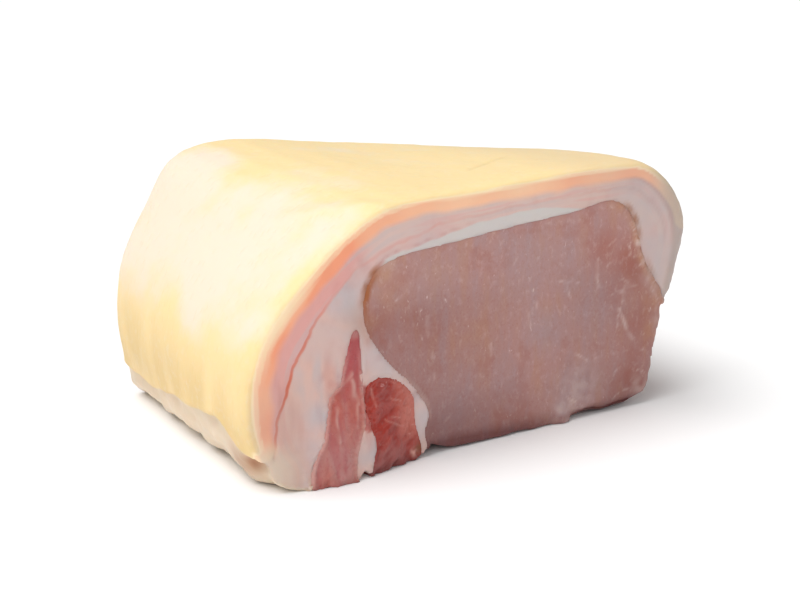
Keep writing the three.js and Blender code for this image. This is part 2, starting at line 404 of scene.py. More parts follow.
def seam_gap(x, z):
    """Signed distance to the seam in the back fat, negative towards the rind."""
    gaps = np.array([segment_gap(x, z, start, end) for start, end in zip(SEAM_LINE, SEAM_LINE[1:])])
    nearest = np.abs(gaps).argmin(axis=0)
    return gaps[nearest, np.arange(len(x))]


def cad_tree(node):
    """A tree of one CAD node's faces, for measuring distances."""
    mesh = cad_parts[node].data
    return BVHTree.FromPolygons([v.co for v in mesh.vertices], [p.vertices for p in mesh.polygons])


def rind_foot(y):
    """Height of the rind's uneven lower edge on the flank at each y in millimetres."""
    fall = (RIND_FOOT_FAR - RIND_FOOT_NEAR) * ease(y, *RIND_FOOT_SLOPE)
    dip = RIND_FOOT_DIP * ease(y, NEAR_CUT + RIND_FOOT_DIP_RUN, NEAR_CUT)
    height = RIND_FOOT_NEAR + fall - dip
    for rise, run in RIND_FOOT_WAVES:
        height = height + rise * np.sin(y / run)
    return height


def rind_tree(lean_trees):
    """A tree of the fat's outer faces: not its cut ends, its base or the faces against lean."""
    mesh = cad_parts["fat_cap"].data
    outer = []
    for face in mesh.polygons:
        centre = face.center
        foot = rind_foot(centre.y / MM) - RIND_RUNS_ON if centre.x < 0 else 0
        is_cut = abs(face.normal.y) > CUT_NORMAL
        is_low = centre.z / MM < foot or face.normal.z < DOWN_NORMAL
        if is_cut or is_low:
            continue
        if min(tree.find_nearest(centre)[3] for tree in lean_trees) / MM > LEAN_CONTACT:
            outer.append(face.vertices)
    return BVHTree.FromPolygons([v.co for v in mesh.vertices], outer)


# Making meshes


def even_piece(name, node, face_size, passes):
    """A new object with a CAD node's form in small even faces, its facets smoothed away."""
    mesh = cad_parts[node].data.copy()
    work = bmesh.new()
    work.from_mesh(mesh)
    bmesh.ops.remove_doubles(work, verts=work.verts, dist=DOUBLES * MM)
    work.to_mesh(mesh)
    work.free()
    piece = bpy.data.objects.new(name, mesh)
    bpy.context.scene.collection.objects.link(piece)
    remesh = piece.modifiers.new("even faces", "REMESH")
    remesh.mode = "VOXEL"
    remesh.voxel_size = face_size
    smooth = piece.modifiers.new("smooth facets", "SMOOTH")
    smooth.iterations = passes
    evaluated = piece.evaluated_get(bpy.context.evaluated_depsgraph_get())
    fine = bpy.data.meshes.new_from_object(evaluated)
    piece.modifiers.clear()
    piece.data = fine
    fine.name = name
    fine.materials.clear()
    fine.shade_smooth()
    return piece


def read_vectors(items, field):
    """One vector for each item of a mesh, as rows."""
    values = np.empty(len(items) * 3, dtype=np.float32)
    items.foreach_get(field, values)
    return values.reshape(-1, 3).astype(float)


def dress(piece, node, material):
    """Gives a piece its material, hangs it on the root body and hides the CAD node that it stands for."""
    piece.data.materials.append(material)
    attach(piece, "root")
    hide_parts(node)


class Surface:
    """A piece in the making, and where each of its vertices lies.

    x and z are the place in the near section and y runs along the joint, all in millimetres.
    facing_cut is 1 where the surface faces a cut end and 0 where it runs along the joint.
    """

    def __init__(self, name, node, face_size, passes):
        self.piece = even_piece(name, node, face_size, passes)
        self.places = read_vectors(self.piece.data.vertices, "co")
        self.normals = read_vectors(self.piece.data.vertex_normals, "vector")
        self.x, self.z = in_section(self.places)
        self.y = self.places[:, 1] / MM
        self.facing_cut = np.abs(self.normals[:, 1])

    def lumps(self, size, seed, stretch=(1, 1, 1)):
        """Smooth noise about zero over the surface."""
        return lumps(self.places, size, seed, stretch)

    def uneven(self, layers):
        """The sum of layers of noise, each with its height, size, seed and perhaps a stretch."""
        return sum(height * self.lumps(*layer) for height, *layer in layers)

    def patchy(self, middle, swing, size, seed, stretch=(1, 1, 1)):
        """A share from 0 to 1 that swings about its middle in lumps."""
        return np.clip(middle + swing * self.lumps(size, seed, stretch), 0, 1)

    def marked(self, marks):
        """How strongly each vertex lies in one of the round marks."""
        shade = np.zeros(len(self.x))
        for mark_x, mark_z, radius, strength in marks:
            shade = np.maximum(shade, strength * bell(np.hypot(self.x - mark_x, self.z - mark_z), radius))
        return shade

    def threaded(self, lines):
        """How strongly each vertex lies on one of the thin wandering lines of fat."""
        x = self.x + 0.9 * self.lumps(4, 41)
        z = self.z + 0.9 * self.lumps(4, 42)
        shade = np.zeros(len(x))
        for start, end, half_width in lines:
            off = np.abs(segment_gap(x, z, start, end))
            shade = np.maximum(shade, ease(off, half_width + 0.8, half_width - 0.4))
        return shade * self.patchy(0.7, 0.8, 3, 43)

    def closing(self, gap):
        """Millimetres by which a wall moves out to meet its neighbour, the cut face itself staying."""
        on_wall = 1 - ease(self.facing_cut, 0.9, 0.99)
        return WALL_MOVE * on_wall * ease(gap, *WALL_GAP)

    def raise_by(self, relief):
        """Moves each vertex out by its relief in millimetres, and keeps the base on the floor."""
        moved = self.places + self.normals * (relief * MM)[:, None]
        moved[:, 2] = np.maximum(moved[:, 2], 0)
        self.piece.data.vertices.foreach_set("co", moved.astype(np.float32).ravel())
        self.piece.data.update()

    def store(self, name, values):
        """Keeps a number, or a vector, for each vertex where a material can read it."""
        is_vector = values.ndim == 2
        layer = self.piece.data.attributes.new(name, "FLOAT_VECTOR" if is_vector else "FLOAT", "POINT")
        layer.data.foreach_set("vector" if is_vector else "value", values.astype(np.float32).ravel())


class FatSurface(Surface):
    """The fat's surface, with its distances to the rind, the lean, the seam and the white band."""

    def __init__(self, face_size):
        super().__init__("rind_and_fat", "fat_cap", face_size, FAT_SMOOTHING)
        lean_trees = [cad_tree(node) for node in LEANS]
        self.depth = gap_to(rind_tree(lean_trees), self.places)
        lean_gaps = [gap_to(tree, self.places) for tree in lean_trees]
        self.eye_gap = lean_gaps[LEANS.index("loin_eye")]
        self.lean_gap = np.minimum.reduce(lean_gaps)
        self.above_foot = np.where(self.x < 0, self.places[:, 2] / MM - rind_foot(self.y), HEIGHT)
        self.seam = seam_gap(self.x, self.z) + self.uneven(SEAM_WANDER)
        self.scratch = np.abs(self.from_line(SCRATCH_LINE)) + 0.5 * self.lumps(3, 15)

        self.on_cut = ease(self.facing_cut, 0.6, 0.9)
        self.on_back = self.z > BACK_FROM
        self.flank = ease(self.x, -38, -54)
        self.below_rind = (self.x < LOOSE_FAT_TO) * (1 - self.on_cut)
        self.loose = ease(self.above_foot, 0.4, -0.6) * self.below_rind
        self.chine_wall = ease(self.x, 66, 76) * ease(self.z, 68, 56) * (1 - self.on_cut)
        self.strands = self.lumps(3, 56, (1, 1, 5)) * self.on_cut * self.flank * ease(self.z, 46, 34)

        # The white band over the eye: thicker to the right, gone at the notch and towards the chine
        thickness = 2.2 + 2.8 * ease(self.x, -30, 0)
        band = thickness * ease(self.x, -44, -36) * ease(self.x, 52, 18) - 0.3
        below_eye_top = 5 * ease(self.z, 66, 60)
        self.past_band = self.eye_gap - band + 0.5 * self.lumps(5, 10) + below_eye_top

    def from_line(self, line):
        """Signed distance to a line on the rind, seen from above."""
        return segment_gap(self.places[:, 0] / MM, self.y, *line)


# Materials

SMOOTH = {"interpolation_type": "SMOOTHSTEP"}
COLOURS = {"data_type": "RGBA"}
MULTIPLY = {"data_type": "RGBA", "blend_type": "MULTIPLY"}

# What the pieces keep for each vertex
FAT_FIELDS = (
    "rind_share", "salmon", "cream", "tan", "flank", "seam", "seam_strength", "white_band", "white",
    "stain", "strip", "brown", "dull",
)
LEAN_FIELDS = ("pale", "red", "grey", "warm", "brown", "shade")


def add_node(tree, kind, inputs=None, settings=None, out=None):
    """Adds a shader node with its settings, values and links, and gives the output that is asked for."""
    node = tree.nodes.new("ShaderNode" + kind)
    for name, value in (settings or {}).items():
        setattr(node, name, value)
    for name, value in (inputs or {}).items():
        socket = next(s for s in node.inputs if s.enabled and name in (s.identifier, s.name))
        if isinstance(value, NodeSocket):
            tree.links.new(value, socket)
        else:
            socket.default_value = value
    return next((s for s in node.outputs if s.enabled and out in (None, s.name)), None)


def new_material(name, fields=()):
    """An empty material, add_node for its own tree, and the fields that its piece keeps."""
    material = bpy.data.materials.new(name)
    material.use_nodes = True
    material.node_tree.nodes.clear()
    add = partial(add_node, material.node_tree)
    kept = {field: add("Attribute", None, {"attribute_name": field}, "Fac") for field in fields}
    return material, add, kept


def raw_rind_and_fat(look):
    """Raw pork back fat under its scalded and scraped rind.

    The rind is a dry satin skin with soft cream and yellow patches and fine pores. Cut fat is
    damp and waxy: light goes a millimetre or so in, so its layers have soft edges.
    """
    material, add, kept = new_material("raw pork rind and back fat", FAT_FIELDS)
    place = add("TexCoord", out="Object")
    hide = add("Attribute", None, {"attribute_name": "hide"}, "Vector")
    layers = add("Mapping", {"Vector": hide, "Scale": [1 / size for size in FAT_BAND]})

    bands = add("TexNoise", {"Vector": layers, "Scale": 1})
    clouds = add("TexNoise", {"Vector": place, "Scale": 1 / (CLOUD * MM), "Detail": 4})
    mottle = add("TexNoise", {"Vector": place, "Scale": 1 / (FAT_MOTTLE * MM), "Detail": 4})
    patches = add("TexNoise", {"Vector": place, "Scale": 1 / (RIND_PATCH * MM), "Detail": 5})

    # Pores, drawn out round the joint as scraping leaves them
    follicles = add("Mapping", {"Vector": hide, "Scale": (0.35, 1, 0)})
    pores = add("TexVoronoi", {"Vector": follicles, "Scale": MM / look.pore_spacing}, out="Distance")

    # Masks: what each is read from, where it starts, where it is full, and how strong it is there
    off_seam = add("Math", {"Value": kept["seam"]}, {"operation": "ABSOLUTE"})
    patchiness = add("MapRange", {"Value": patches, "From Min": 0.3, "From Max": 0.7})
    paler = add("Math", {"Value": kept["cream"], "Value_001": patchiness}, {"operation": "ADD"})
    masks = {}
    for name, value, start, full, strength in (
        ("inner layer", kept["seam"], -0.4, 1, 1),
        ("white bands", bands, 0.5, 0.64, 0.4),
        ("pink bands", bands, 0.47, 0.36, 0.4),
        ("rosy clouds", clouds, 0.52, 0.8, 0.15),
        ("seam", off_seam, 0.8, 0.2, kept["seam_strength"]),
        ("white band", kept["white_band"], 0.3, -0.4, 1),
        ("cut rind", kept["rind_share"], 1.45, 0.8, 1),
        ("outer edge", kept["rind_share"], 0.4, 0.2, 1),
        ("outside", kept["rind_share"], 0.26, 0.06, 1),
        ("cream rind", paler, 0.5, 1.5, 1),
        ("cream mottle", mottle, 0.5, 0.72, 0.2),
        ("tan pores", pores, 0.3, 0, 0.15),
        ("pitted", pores, 0.05, 0.45, 1),
    ):
        limits = {"From Min": start, "From Max": full, "To Max": strength}
        masks[name] = add("MapRange", {"Value": value, **limits}, SMOOTH)

    # The two layers of flank fat and the back fat, then what lies over them
    flank = add("Mix", {"Factor": masks["inner layer"], "A": look.outer_fat, "B": look.inner_fat}, COLOURS)
    surface = add("Mix", {"Factor": kept["flank"], "A": look.back_fat, "B": flank}, COLOURS)
    for share, tint in (
        (masks["white bands"], look.white_fat), (masks["pink bands"], look.outer_fat),
        (kept["white"], look.white_fat), (masks["rosy clouds"], look.blood), (masks["seam"], look.seam),
        (masks["white band"], look.band), (kept["stain"], look.blood),
    ):
        surface = add("Mix", {"Factor": share, "A": surface, "B": tint}, COLOURS)

    # The outside of the rind: yellow, with cream patches and mottles, tan below and in the pores
    skin = look.yellow
    for share, tint in (
        (masks["cream rind"], look.cream), (kept["tan"], look.tan), (masks["cream mottle"], look.cream),
        (masks["tan pores"], look.tan),
    ):
        skin = add("Mix", {"Factor": share, "A": skin, "B": tint}, COLOURS)

    # The cut edge of the rind, orange-pink inside and pale outside, then the rind itself, stains and
    # painted shade
    cut_rind = add("Mix", {"Factor": kept["salmon"], "A": look.pale_rind, "B": look.cut_rind}, COLOURS)
    for share, tint in (
        (masks["cut rind"], cut_rind), (masks["outer edge"], look.pale_rind), (masks["outside"], skin),
        (kept["strip"], look.strip), (kept["brown"], look.tip), (kept["dull"], look.dull),
    ):
        surface = add("Mix", {"Factor": share, "A": surface, "B": tint}, COLOURS)

    height = add("Mix", {"Factor": masks["outside"], "A": mottle, "B": masks["pitted"]})
    bump = add("Bump", {"Strength": 0.35, "Distance": RELIEF_DEPTH * MM, "Height": height})
    gloss = add("MapRange", {"Value": masks["outside"], "To Min": 0.4, "To Max": 0.55})
    shader = add("BsdfPrincipled", {
        "Base Color": surface, "Roughness": gloss, "IOR": 1.44, "Specular IOR Level": 0.35, "Normal": bump,
        "Subsurface Weight": 0.3, "Subsurface Radius": (1, 0.6, 0.4), "Subsurface Scale": MM,
    })
    add("OutputMaterial", {"Surface": shader})
    return material


def raw_lean(name, look, roughness, wet, fat_flecks):
    """Raw pork lean cut across its fibres.

    Damp muscle: bundles of fibres end on as a soft grain, redder and greyer clouds, flecks and
    threads of fat, and a film of moisture that glints on the bundles.
    """
    material, add, kept = new_material(name, LEAN_FIELDS)
    place = add("TexCoord", out="Object")

    # Bundles run along the joint, streaks run down the cut, and flecks are short strokes
    fibres = add("Mapping", {"Vector": place, "Scale": (1, 0.15, 0.7)})
    streaks = add("Mapping", {"Vector": place, "Scale": (1, 0.5, 0.2)})
    strokes = add("Mapping", {"Vector": place, "Scale": (1, 0.3, 0.45)})

    # Patterns: where each is laid, its size, and how detailed, rough and twisted it is
    patterns = {}
    for pattern, vector, size, detail, rough, twist in (
        ("clouds", place, CLOUD * MM, 5, 0.5, 0),
        ("drift", streaks, 4 * look.bundle, 5, 0.6, 0),
        ("mottle", fibres, 1.5 * look.bundle, 5, 0.65, 0),
        ("grain", fibres, 0.5 * look.bundle, 3, 0.6, 0),
        ("flecks", strokes, FLECK * MM, 3, 0.5, 0.6),
        ("clusters", place, FLECK_CLUSTER * MM, 2, 0.5, 0),
    ):
        patterns[pattern] = add("TexNoise", {
            "Vector": vector, "Scale": 1 / size, "Detail": detail, "Roughness": rough, "Distortion": twist,
        })

    # Masks: what each is read from, where it starts, where it is full, and how strong it is there
    masks = {}
    for mask, pattern, start, full, strength in (
        ("warm streaks", "drift", 0.5, 0.66, 0.45),
        ("cool streaks", "drift", 0.5, 0.36, 0.45),
        ("red clouds", "clouds", 0.5, 0.7, 0.5),
        ("pale mottle", "mottle", 0.5, 0.72, 0.3 * fat_flecks),
        ("deep grain", "grain", 0.5, 0.7, 0.3),
        ("flecks", "flecks", 0.63, 0.74, fat_flecks),
        ("clusters", "clusters", 0.5, 0.65, 1),
    ):
        limits = {"From Min": start, "From Max": full, "To Max": strength}
        masks[mask] = add("MapRange", {"Value": patterns[pattern], **limits}, SMOOTH)
    both = {"Value": masks["flecks"], "Value_001": masks["clusters"]}
    flecked = add("Math", both, {"operation": "MULTIPLY"})

    # Streaks and clouds, the patches that the piece keeps, the grain, and fat over all of it
    lean = look.lean
    for share, tint in (
        (masks["warm streaks"], look.warm), (masks["cool streaks"], look.grey),
        (masks["red clouds"], look.deep), (kept["grey"], look.grey), (kept["red"], look.deep),
        (kept["warm"], look.warm), (kept["brown"], look.brown), (masks["pale mottle"], look.pale),
        (masks["deep grain"], look.deep), (flecked, look.pale), (kept["pale"], look.pale),
    ):
        lean = add("Mix", {"Factor": share, "A": lean, "B": tint}, COLOURS)
    # Painted shade, multiplied in with the grey lean
    lean = add("Mix", {"Factor": kept["shade"], "A": lean, "B": look.grey}, MULTIPLY)

    bump = add("Bump", {"Strength": 0.4, "Distance": RELIEF_DEPTH * MM, "Height": patterns["grain"]})
    gloss = add("MapRange", {
        "Value": patterns["clouds"], "From Min": 0.3, "From Max": 0.7,
        "To Min": roughness + 0.1, "To Max": roughness,
    })
    shader = add("BsdfPrincipled", {
        "Base Color": lean, "Roughness": gloss, "IOR": 1.38, "Specular IOR Level": wet, "Normal": bump,
        "Subsurface Weight": 0.2, "Subsurface Radius": (1, 0.35, 0.25), "Subsurface Scale": 0.7 * MM,
    })
    add("OutputMaterial", {"Surface": shader})
    return material


def studio_paper(look):
    """Matte studio paper: an even pale floor that takes a soft shadow."""
    material, add, _ = new_material("matte studio paper")
    place = add("TexCoord", out="Object")
    tooth = add("TexNoise", {"Vector": place, "Scale": 1 / (PAPER_TOOTH * MM)})
    bump = add("Bump", {"Strength": 0.05, "Distance": PAPER_DEPTH * MM, "Height": tooth})
    shader = add("BsdfPrincipled", {
        "Base Color": look.floor, "Roughness": 0.9, "Specular IOR Level": 0.1, "Normal": bump,
    })
    add("OutputMaterial", {"Surface": shader})
    return material


# The pieces

# A zone is an ease from where it starts to where it is full, in millimetres, and the number before it is
# millimetres of relief or a share of a colour.


class LOIN_OT_rind_and_fat(Operator):
    """Make the back fat with the rind as its skin"""

    bl_idname = "loin.rind_and_fat"
    bl_label = "Rind and fat"

    def execute(self, context):
        look = context.scene.loin_fat
        fat = FatSurface(look.face_size)
        self.shape(fat)
        self.colour_rind(fat, look)
        self.colour_layers(fat)
        self.stain(fat)
        self.colour_edges(fat)
        dress(fat.piece, "fat_cap", raw_rind_and_fat(look))
        return {"FINISHED"}

    def shape(self, fat):
        """Swells, a ridge and a scratch on the rind, lobes of loose fat below it, layers on the cuts."""
        on_skin = ease(fat.depth, 1.6, 0.4)
        off_lean = ease(fat.lean_gap, 0, 2)
        relief = PROUD + fat.closing(fat.lean_gap)
        relief += on_skin * fat.uneven(RIND_SWELLS)
        ridge = RIDGE_HEIGHT * bell(fat.from_line(RIDGE_LINE), RIDGE_SPREAD)
        relief += on_skin * fat.on_back * (ridge - SCRATCH_DEPTH * bell(fat.scratch, SCRATCH_SPREAD))
        chine_shoulder = ease(fat.x, 66, 78) * ease(fat.z, 54, 64) * ease(fat.y, -15, -40)
        relief += 0.8 * on_skin * chine_shoulder
        relief += fat.chine_wall * fat.uneven(CHINE_FAT_SWELLS)
        relief += fat.on_cut * off_lean * fat.uneven(CUT_FAT_SWELLS)
        low_flank = ease(fat.x, -52, -68)
        relief -= 0.7 * fat.on_cut * low_flank * bell(fat.seam, 0.8)

        # The rind's lip, and under it the loose fat: tucked in, then out, with one large lobe near the cut
        lip = bell(fat.above_foot - 1.2, 1.6) * fat.below_rind * ease(fat.y, NEAR_CUT, NEAR_CUT + 8)
        hang = -1.0 + 1.7 * ease(fat.above_foot, -2, -8)
        relief += 0.5 * lip + fat.loose * hang
        large_lobe = 1.4 * bell(fat.y + 40, 6) - bell(fat.y + 48, 1.8)
        relief += fat.loose * (fat.uneven(LOOSE_FAT_LOBES) + large_lobe)
        fat.raise_by(relief)

    def colour_rind(self, fat, look):
        """How deep in the rind each vertex lies, and where the rind is salmon, cream or tan."""
        x, y, z = fat.x, fat.y, fat.z
        thickness = look.flank_rind + (look.back_rind - look.flank_rind) * ease(x, -70, -46)
        thickness = (thickness + (look.chine_rind - look.back_rind) * ease(x, 52, 76)) / MM
        # The rounded cut edge always takes some cut-rind colour in place of the skin's: partly the pale
        # band of the cut rind, partly painted light where the edge turns away from the key light
        rounded = 0.3 * ease(fat.facing_cut, 0.68, 0.98)
        share = np.maximum(fat.depth / thickness * (1 + 0.25 * fat.lumps(9, 7)), rounded)

        # There is no rind on the cuts below its foot or, past an uneven line, low on the chine side
        below_foot = ease(fat.facing_cut, 0.1, 0.4) * ease(fat.above_foot, 5, -5)
        inward = ease(y, NEAR_CUT + 2, NEAR_CUT + 14)
        low_chine = ease(x, 60, 72) * ease(z + 7 * inward * fat.lumps(12, 51), 65, 58)
        no_rind = 2
        fat.store("rind_share", share + no_rind * below_foot + no_rind * low_chine)

        # Salmon on the cut rind: strongest on the flank and right of the middle, paler on the shoulder
        back = (0.5 + 0.2 * ease(x, 10, 40)) * ease(x, 84, 68)
        salmon = back + 0.5 * ease(x, -25, -50)
        shoulder = 0.7 * bell(z - 54, 14) * ease(x, -54, -64)
        salmon *= ease(z, 8, 19) * (1 - shoulder * ease(share, 0.8, 0.45))
        fat.store("salmon", salmon * (1 + 0.4 * fat.lumps(12, 11)))

        # Cream on the shoulder, less so along the near cut
        wander = 9 * fat.lumps(22, 16)
        back_edge = 0.6 * ease(y, -24, NEAR_CUT) * ease(x, -52, -36)
        flank_edge = 0.7 * ease(y, -40, NEAR_CUT) * ease(x, -46, -62)
        near_edge = back_edge + flank_edge
        fat.store("cream", ease(x + wander, -36, -62) * ease(z + wander, 26, 62) - near_edge)

        # Tan low on the flank in streaks, at its near corner, and in the scratch
        low = 0.95 * ease(z, 46, 18) * fat.patchy(0.8, 0.9, 9, 12, (2, 1, 3))
        corner = 0.7 * ease(z, 40, 16) * ease(y, -38, NEAR_CUT)
        scratched = 0.45 * fat.on_back * bell(fat.scratch, SCRATCH_SPREAD)
        fat.store("tan", np.maximum((x < 0) * np.maximum(low, corner), scratched))

        # The hide unrolled: round the joint, along it, and down from the skin
        girth = np.arctan2(x, z - HIDE_CENTRE) * HIDE_RADIUS
        fat.store("hide", np.stack([girth, y, np.minimum(fat.depth, HIDE_DEPTH)], axis=1))

    def colour_layers(self, fat):
        """The layers of the cut fat: flank and back, the seam, the white band and firm white fat."""
        x, z = fat.x, fat.z
        fat.store("flank", fat.flank)
        fat.store("seam", fat.seam)
        down_flank = 0.8 * ease(z, 62, 36) * (x < 0)
        fat.store("seam_strength", (0.15 + down_flank) * ease(z, 9, 16) * (1 + 0.6 * fat.lumps(8, 9)))
        fat.store("white_band", np.maximum(fat.past_band, 0.3 - ease(x, -42, -33)))

        chine_fat = 0.6 * ease(x, 48, 62)
        strands = np.clip(1.5 * fat.strands, 0, 0.6)
        white = np.maximum.reduce([fat.marked(WHITE_FAT_MARKS), chine_fat, strands])
        outside_seam = ease(x, -44, -50) * ease(fat.seam, 0.6, -0.6)
        white *= 1 - outside_seam
        edges = np.clip(1 + 0.7 * fat.lumps(5, 13), 0, 1.3)
        fat.store("white", np.clip(edges * white, 0, 1))

    def stain(self, fat):
        """Fat that is rosy from the lean: in marks, strands and arcs, and beside the muscles."""
        x, z = fat.x, fat.z
        rosy = fat.marked(ROSY_FAT_MARKS) * fat.patchy(0.6, 1, 3, 14)
        membrane = 0.9 * ease(np.abs(segment_gap(x, z, *MEMBRANE_LINE)), 1.7, 0.9)
        arc = fat.depth + 0.9 * fat.lumps(9, 17)
        arcs = sum(strength * bell(arc - depth, spread) for strength, depth, spread in CHINE_ARCS)
        arcs *= fat.on_cut * ease(x, 44, 66) * ease(z, 54, 64)
        over_band = 0.3 * fat.on_cut * bell(fat.past_band - 0.6, 0.35)
        over_band *= ease(x, -46, -38) * ease(x, 10, -20)
        smears = 0.7 * fat.chine_wall * fat.patchy(0.1, 1.6, 6, 54, (1, 3, 1))
        strands = np.clip(-0.6 * fat.strands, 0, 0.25)
        beside_lean = 0.25 * ease(fat.lean_gap, 1.3, 0.2)
        stains = [rosy, membrane, arcs, over_band, smears, strands, beside_lean]
        fat.store("stain", np.maximum.reduce(stains))

    def colour_edges(self, fat):
        """The loose fat, brown stains on it, brown beside the eye that is partly painted shade of a groove,
        and painted shade on the fat and rind.
        """
        x, y, z = fat.x, fat.y, fat.z
        corner = 0.85 * ease(fat.facing_cut, 0.3, 0.8) * ease(x, -66, -79) * ease(z, 18, 9)
        fat.store("strip", np.maximum(fat.loose, corner))

        lobe = 0.5 * bell(y + 38, 6) * bell(z - 8.5, 4.5)
        lobe_end = 0.7 * bell(np.hypot(y + 45.5, z - 9), 3.5)
        # Brown beside the eye: at its upper left rim partly orange-brown tissue and partly painted shade of
        # the groove there
        torn = fat.marked(BROWN_FAT_MARKS) * ease(fat.eye_gap, 2.8, 1.4)
        tan = 0.32 * fat.on_cut * bell(segment_gap(x, z, *TAN_LINE), 2.5)
        brown = np.maximum.reduce([fat.loose * (lobe + lobe_end), torn, tan])
        fat.store("brown", np.clip(brown, 0, 1))

        # Painted shade: greyer towards the chine side and on its thin rind, where less light falls, and low
        # on the flank's rounded cut edge
        chine = 0.2 * ease(x, 20, 52) + 0.6 * ease(x, 66, 80) * ease(fat.depth, 5, 2.5)
        shaded_low_edge = 0.3 * ease(fat.facing_cut, 0.3, 0.7) * ease(z, 46, 22) * ease(x, -64, -72)
        fat.store("dull", chine + shaded_low_edge + fat.on_cut * fat.marked(PAINTED_SHADE_MARKS))


class LOIN_OT_eye_muscle(Operator):
    """Make the large pale eye muscle"""

    bl_idname = "loin.eye_muscle"
    bl_label = "Eye muscle"

    def execute(self, context):
        look = context.scene.loin_eye
        eye = Surface("eye_muscle", "loin_eye", look.face_size, LEAN_SMOOTHING)
        rim = gap_to(cad_tree("fat_cap"), eye.places)
        chine = ease(eye.normals[:, 0], 0.3, 0.8) * ease(eye.x, 40, 60)
        threads = eye.threaded(EYE_THREADS)
        self.shape(eye, rim, chine, threads)
        self.lay_fat(eye, rim, chine, threads)
        self.tint(eye, rim)
        lean = raw_lean("raw pork eye lean", look, roughness=0.36, wet=0.35, fat_flecks=0.65)
        dress(eye.piece, "loin_eye", lean)
        return {"FINISHED"}

    def shape(self, eye, rim, chine, threads):
        """A soft uneven cut, faint streaks down it, a lumpy torn chine side and a ragged foot."""
        inside = ease(rim, 0, 2)
        foot = ease(eye.z, 9, 1)
        relief = PROUD + eye.closing(rim) + inside * eye.uneven(EYE_SWELLS)
        bundles = 0.12 * (grooves(eye.places, 2.2, (1, 6, 1.4)) - 0.3)
        relief += inside * (eye.uneven(EYE_STREAKS) + bundles)
        relief += chine * eye.uneven(EYE_CHINE_LUMPS)
        relief += foot * (eye.uneven(EYE_FOOT_LUMPS) - FOOT_CUT_BACK) + THREAD_HEIGHT * threads
        past_flap = ease(eye.x, FLAP_END, FLAP_END + 2) * ease(eye.z, 5, 1)
        flap_bulge = 0.5 * bell(eye.x - FLAP_END + 3, 3) * ease(eye.z, 8, 3)
        relief -= FLAP_STEP * (past_flap - flap_bulge) * ease(eye.y, NEAR_CUT + 12, NEAR_CUT + 3)
        eye.raise_by(relief)

    def lay_fat(self, eye, rim, chine, threads):
        """Threads, veins, blots and torn shreds of fat, and membrane on the chine side."""
        x, z = eye.x, eye.z
        membrane = 0.5 * chine * eye.patchy(0.2, 1.3, 6, 26, (1, 2, 1))
        veins = ease(np.abs(eye.lumps(8, 29)), 0.07, 0.0) * ease(x, 44, 60) * eye.patchy(0.3, 2, 5, 30)
        torn = ease(x, 48, 60) * ease(rim, 2.5, 0.3) * eye.patchy(0, 1.8, 3, 44)
        blots = eye.marked(EYE_PALE_MARKS) * eye.patchy(0.7, 1.2, 3, 45)
        left_rim = 0.4 * ease(rim, 1.8, 1.0) * bell(z - 22, 8) * (x < -15)
        eye.store("pale", np.maximum.reduce([0.6 * threads, membrane, 0.5 * veins, torn, blots, left_rim]))

    def tint(self, eye, rim):
        """Redder, greyer, warmer and browner patches, and the shade of the lower half."""
        x, z = eye.x, eye.z
        chine_rim = 0.8 * ease(x, 46, 58) * ease(rim, 4, 0.5)
        warm = np.maximum(eye.marked(EYE_WARM_MARKS), chine_rim)
        eye.store("warm", np.clip(warm * (0.9 + eye.lumps(4, 46)), 0, 1))
        eye.store("red", eye.marked(EYE_RED_MARKS))
        # The groove at the upper left rim: partly orange-brown colour, partly painted shade
        eye.store("brown", 0.9 * ease(rim, 2.4, 1.0) * bell(z - 58, 8) * (x < -30))
        eye.store("grey", eye.marked(EYE_GREY_MARKS))
        low = 0.75 * ease(z, 7, 0) + 0.2 * ease(z, 22, 4) + 0.15 * ease(z, 26, 10) * ease(x, 25, -10)
        middle = ease(z, 62, 46) * (0.22 + 0.1 * ease(x, 0, -25) - 0.16 * bell(x - 22, 16))
        light_patch = bell(np.hypot((x - 39) / 1.5, z - 6), 9)
        eye.store("shade", (low + middle) * (1 - 0.8 * light_patch))


